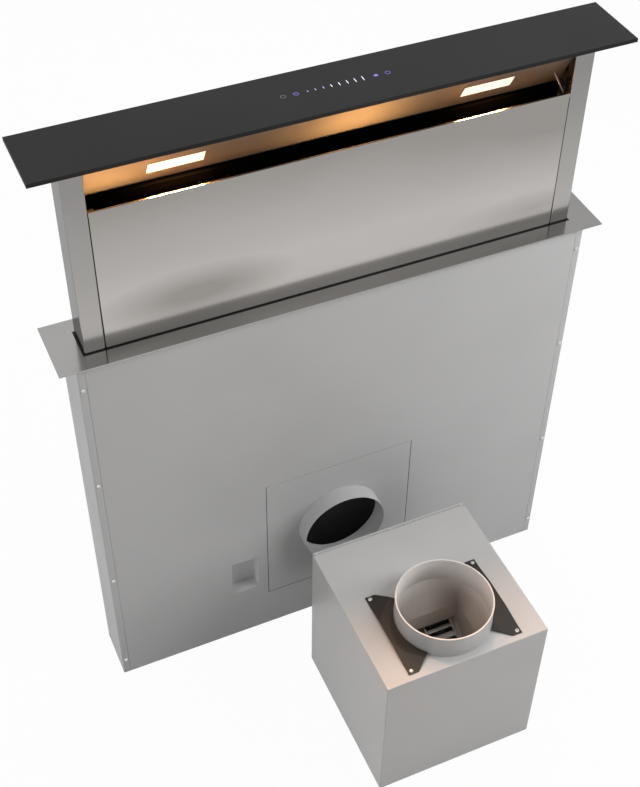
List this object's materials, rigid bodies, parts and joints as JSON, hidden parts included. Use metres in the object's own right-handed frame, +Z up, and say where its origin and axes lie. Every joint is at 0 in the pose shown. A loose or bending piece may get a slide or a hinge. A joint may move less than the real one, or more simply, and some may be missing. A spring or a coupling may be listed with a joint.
{
  "type": "downdraft vent",
  "caption": "Slim worktop downdraft vent: an extraction column that rises out of a flat casing, with a lit intake slot, and a separate motor box with a round outlet collar.",
  "frame": {"origin": "centre of the casing's underside, on the floor of the cabinet", "axes": "+X to the right and +Y to the back, seen from the cook's side; +Z up, along the column's lift"},
  "size_m": [0.9, 0.4985, 1.1],
  "materials": {
    "dark_glass": "satin near-black glass",
    "brushed_steel": "brushed along X",
    "casing_grey": "satin light grey coating on steel sheet",
    "zinc_steel": "zinc-coated sheet",
    "machined_steel": "turned",
    "ground_steel": "ground and hard chromed",
    "cast_aluminium": "die cast, matt",
    "filter_aluminium": "expanded and pleated, satin",
    "brass": "turned",
    "black_rubber": "matt",
    "black_plastic": "fine matt grain",
    "black_paint": "satin black",
    "motor_paint": "satin black",
    "circuit_board": "solder mask",
    "lamp_diffuser": "opal",
    "capacitor_white": "smooth"
  },
  "bodies": {
    "casing": {"casing_side_left": "casing_grey", "casing_side_right": "casing_grey", "front_cover": "casing_grey", "back_cover": "casing_grey", "base_pan": "zinc_steel", "top_frame": "zinc_steel", "worktop_flange": "brushed_steel", "slot_seal": "black_rubber", "outlet_plate": "casing_grey", "outlet_spigot": "casing_grey", "connection_recess": "casing_grey", "guide_rails": "cast_aluminium", "control_box": "black_plastic", "control_board": "circuit_board", "control_box_lid": "black_plastic", "angle_gearboxes": "cast_aluminium", "lift_tubes": "zinc_steel", "tube_bushes": "black_plastic", "lift_gearmotor": "motor_paint"},
    "column": {"top_plate": "dark_glass", "head_tray": "zinc_steel", "touch_board": "circuit_board", "post_left": "brushed_steel", "post_right": "brushed_steel", "rod_brackets": "zinc_steel", "front_panel": "brushed_steel", "rear_panel": "brushed_steel", "bottom_frame": "zinc_steel", "guide_shoes": "black_plastic", "light_deflector": "brushed_steel", "lamp_lenses": "lamp_diffuser", "lamp_housings": "black_plastic", "drip_tray": "zinc_steel", "filter_frame_left": "filter_aluminium", "filter_frame_right": "filter_aluminium", "filter_cores": "filter_aluminium", "filter_handles": "black_plastic", "filter_rail": "black_paint", "panel_catches": "machined_steel", "lift_rods": "ground_steel", "lift_nuts": "brass"},
    "cross_shaft": {"drive_shaft": "machined_steel"},
    "left_screw": {"lift_screw_left": "machined_steel"},
    "right_screw": {"lift_screw_right": "machined_steel"},
    "motor_unit": {"motor_box_shell": "casing_grey", "motor_box_back": "casing_grey", "outlet_collar": "casing_grey", "collar_brackets": "black_paint", "scroll_wrap": "zinc_steel", "scroll_sides": "zinc_steel", "outlet_transition": "casing_grey", "fan_motor": "motor_paint", "motor_spider": "zinc_steel", "blower_base": "zinc_steel", "rubber_mounts": "black_rubber", "run_capacitor": "capacitor_white", "fan_terminal_box": "black_plastic"},
    "fan_wheel": {"impeller": "zinc_steel", "fan_shaft": "machined_steel"}
  },
  "joints": [
    {"name": "lift", "type": "slide", "parent": "casing", "child": "column", "axis": [0, 0, 1], "range_m": [-0.327, 0]},
    {"name": "cross_shaft_turn", "type": "hinge", "parent": "casing", "child": "cross_shaft", "pos_m": [0, 0, 0.045], "axis": [1, 0, 0], "range_deg": [0, 7360]},
    {"name": "left_screw_turn", "type": "hinge", "parent": "casing", "child": "left_screw", "pos_m": [-0.387, 0, 0.3], "axis": [0, 0, 1], "range_deg": [0, 7360]},
    {"name": "right_screw_turn", "type": "hinge", "parent": "casing", "child": "right_screw", "pos_m": [0.387, 0, 0.3], "axis": [0, 0, 1], "range_deg": [0, 7360]},
    {"name": "motor_unit_place", "type": "slide", "parent": "casing", "child": "motor_unit", "axis": [0, -1, 0], "range_m": [-0.06, 0.3]},
    {"name": "fan_spin", "type": "hinge", "parent": "motor_unit", "child": "fan_wheel", "pos_m": [0.0465, -0.284, 0.125], "axis": [1, 0, 0], "continuous": true}
  ],
  "couplings": [
    {"joint": "cross_shaft_turn", "follows": "lift", "rad_per_m": -392.7},
    {"joint": "left_screw_turn", "follows": "lift", "rad_per_m": -392.7},
    {"joint": "right_screw_turn", "follows": "lift", "rad_per_m": -392.7}
  ]
}
